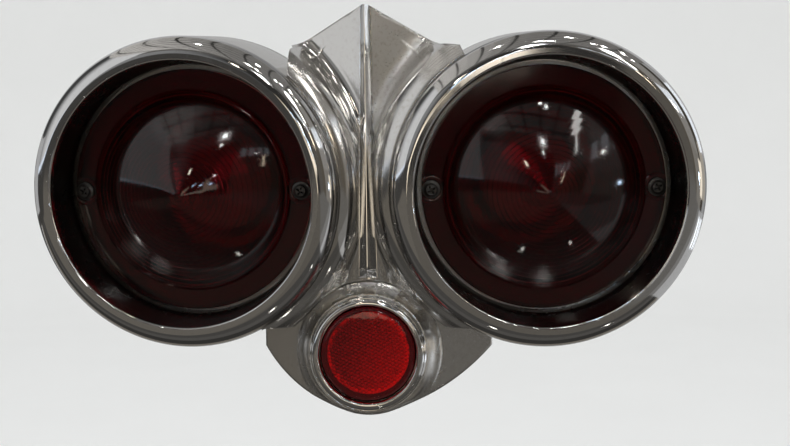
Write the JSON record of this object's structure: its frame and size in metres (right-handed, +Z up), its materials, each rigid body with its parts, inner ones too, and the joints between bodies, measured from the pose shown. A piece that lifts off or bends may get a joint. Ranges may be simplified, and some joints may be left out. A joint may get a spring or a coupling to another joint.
{
  "type": "twin round tail lamp",
  "caption": "Chromed twin round tail lamp for the end of a 1950s car's tail fin, with conical red lenses, a ridged centre web and a round red reflector below.",
  "frame": {"origin": "on the back of the fender gasket, midway between the lamps and level with the mouths' centres", "axes": "+X to the right seen from behind the car, +Y towards the front of the car, +Z up; the lenses face -Y"},
  "size_m": [0.3042, 0.0906, 0.189],
  "materials": {
    "chrome_casting": "polished chrome plate, slightly pitted",
    "chrome_trim": "polished chrome plate",
    "red_lens": "gloss, transparent dark red",
    "red_reflex": "gloss, prismatic red",
    "black_rubber": "matt",
    "dark_screw": "tarnished steel",
    "bucket_steel": "zinc plated, dull",
    "socket_metal": "dull brass",
    "bulb_glass": "clear glass",
    "stud_steel": "zinc plated"
  },
  "bodies": {
    "root": {"housing": "chrome_casting", "keel_strip": "chrome_trim", "housing_studs": "stud_steel", "fender_gasket": "black_rubber", "reflector_body": "chrome_casting", "reflector_ring": "chrome_trim", "reflector_lens": "red_reflex", "reflector_gasket": "black_rubber", "reflector_studs": "stud_steel", "bezel_left": "chrome_trim", "bezel_right": "chrome_trim", "lens_left": "red_lens", "lens_right": "red_lens", "lens_gasket_left": "black_rubber", "lens_gasket_right": "black_rubber", "lens_screws_left": "dark_screw", "lens_screws_right": "dark_screw", "bucket_left": "bucket_steel", "bucket_right": "bucket_steel", "socket_left": "socket_metal", "socket_right": "socket_metal", "bulb_base_left": "socket_metal", "bulb_base_right": "socket_metal", "bulb_left": "bulb_glass", "bulb_right": "bulb_glass"}
  },
  "joints": []
}
